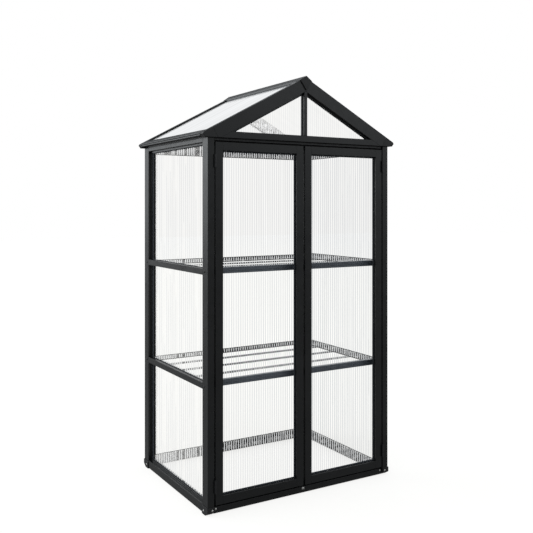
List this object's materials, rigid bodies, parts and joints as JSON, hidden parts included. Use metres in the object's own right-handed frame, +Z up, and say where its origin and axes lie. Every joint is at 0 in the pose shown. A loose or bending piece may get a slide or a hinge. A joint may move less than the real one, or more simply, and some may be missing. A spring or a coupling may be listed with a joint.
{
  "type": "cabinet greenhouse",
  "caption": "Tall cabinet greenhouse with a black metal frame, clear twin-wall panels, a gabled roof, slatted shelves and a pair of hinged front doors.",
  "frame": {"origin": "on the ground, at the middle of the greenhouse's footprint", "axes": "+X to the right seen from the front, +Y from the doors to the back wall, +Z up"},
  "size_m": [0.804, 0.589, 1.479],
  "materials": {
    "black_frame": "satin black powder coat",
    "black_plastic": "fine matt moulded black",
    "hinge_metal": "black coated steel",
    "twin_wall_panel": "clear ribbed twin-wall sheet"
  },
  "bodies": {
    "frame": {"back_base_rail": "black_frame", "back_left_post": "black_frame", "back_mid_rails": "black_frame", "back_right_post": "black_frame", "back_top_rail": "black_frame", "back_wall_panels": "twin_wall_panel", "eave_end_caps": "black_plastic", "feet": "black_plastic", "front_gable_panels": "twin_wall_panel", "front_left_post": "black_frame", "front_left_rafter": "black_frame", "front_lintel": "black_frame", "front_right_post": "black_frame", "front_right_rafter": "black_frame", "front_sill": "black_frame", "front_tie_beam": "black_frame", "gable_mullions": "black_frame", "left_base_rail": "black_frame", "left_eave_rail": "black_frame", "left_mid_rails": "black_frame", "left_roof_panel": "twin_wall_panel", "left_top_rail": "black_frame", "left_wall_panels": "twin_wall_panel", "lower_shelf": "black_frame", "post_hinge_leaves": "hinge_metal", "rear_gable_panels": "twin_wall_panel", "rear_left_rafter": "black_frame", "rear_right_rafter": "black_frame", "rear_tie_beam": "black_frame", "ridge_cap": "black_frame", "ridge_end_plates": "black_plastic", "right_base_rail": "black_frame", "right_eave_rail": "black_frame", "right_mid_rails": "black_frame", "right_roof_panel": "twin_wall_panel", "right_top_rail": "black_frame", "right_wall_panels": "twin_wall_panel", "upper_shelf": "black_frame"},
    "left_door": {"left_door_stiles": "black_frame", "left_door_rails": "black_frame", "left_door_panel": "twin_wall_panel", "left_door_hinge_leaves": "hinge_metal"},
    "right_door": {"right_door_stiles": "black_frame", "right_door_rails": "black_frame", "right_door_panel": "twin_wall_panel", "right_door_hinge_leaves": "hinge_metal"}
  },
  "joints": [
    {"name": "left_door_hinge", "type": "hinge", "parent": "frame", "child": "left_door", "pos_m": [-0.3535, -0.2842, 0.6], "axis": [0, 0, -1], "range_deg": [0, 110]},
    {"name": "right_door_hinge", "type": "hinge", "parent": "frame", "child": "right_door", "pos_m": [0.3535, -0.2842, 0.6], "axis": [0, 0, 1], "range_deg": [0, 110]}
  ]
}
